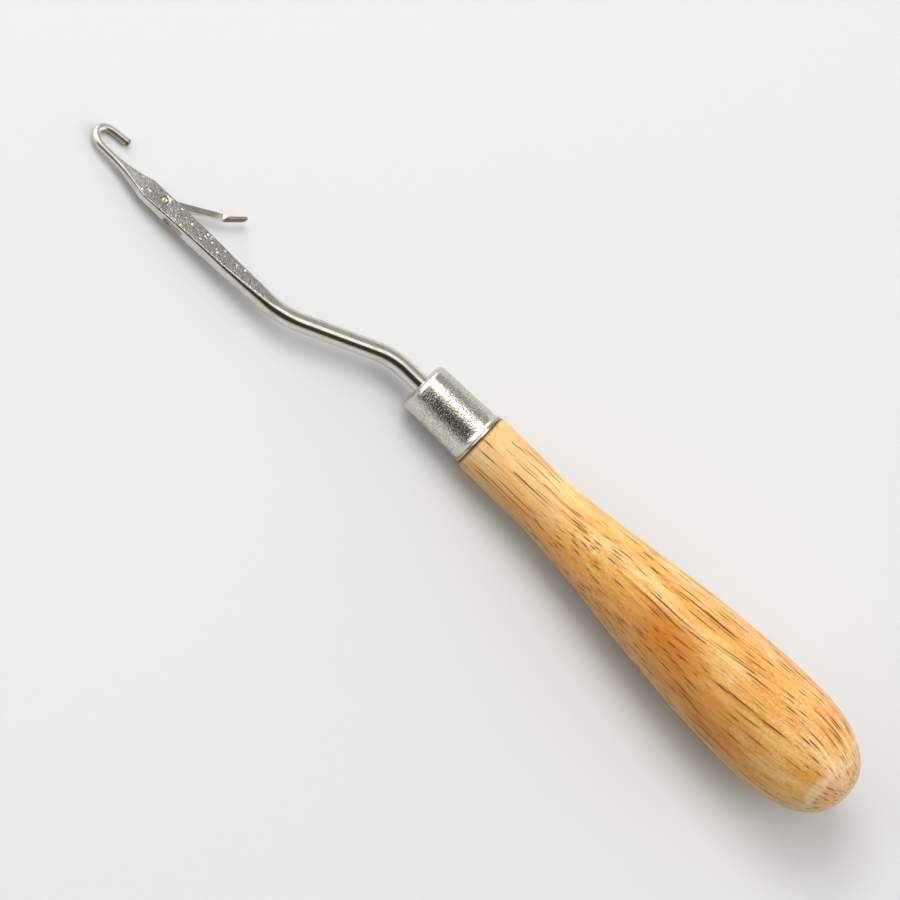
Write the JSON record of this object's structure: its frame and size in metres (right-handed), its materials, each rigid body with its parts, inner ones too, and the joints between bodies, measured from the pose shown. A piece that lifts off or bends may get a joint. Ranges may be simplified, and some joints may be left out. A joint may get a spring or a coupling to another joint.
{
  "type": "latch hook tool",
  "caption": "Hand tool with a turned wooden handle, a metal ferrule and a bent rod that ends in a slotted blade, an open hook and a swinging latch that closes it.",
  "frame": {"origin": "on the handle's axis, at the shoulder where the wood meets the ferrule's rim", "axes": "+X along the handle's axis towards the hook; +Z along the rivet that the latch turns on; the rod steps over to +Y and the hook opens towards -Y"},
  "size_m": [0.1707, 0.0228, 0.0207],
  "materials": {
    "varnished_wood": "satin varnish over coarse, short-pored grain",
    "ferrule_nickel": "nickel plated, polished with a fine frosted speckle",
    "rod_nickel": "nickel plated steel, bright on the round rod and pitted on the pressed faces",
    "latch_nickel": "nickel plated steel, satin",
    "rivet_steel": "staked steel, satin"
  },
  "bodies": {
    "tool": {"handle": "varnished_wood", "ferrule": "ferrule_nickel", "shank": "rod_nickel", "hook": "rod_nickel", "latch_rivet": "rivet_steel"},
    "latch": {"latch": "latch_nickel"}
  },
  "joints": [
    {"name": "latch_pivot", "type": "hinge", "parent": "tool", "child": "latch", "pos_m": [0.06665, 0.01015, 0], "axis": [0, 0, 1], "range_deg": [0, 122.5]}
  ]
}
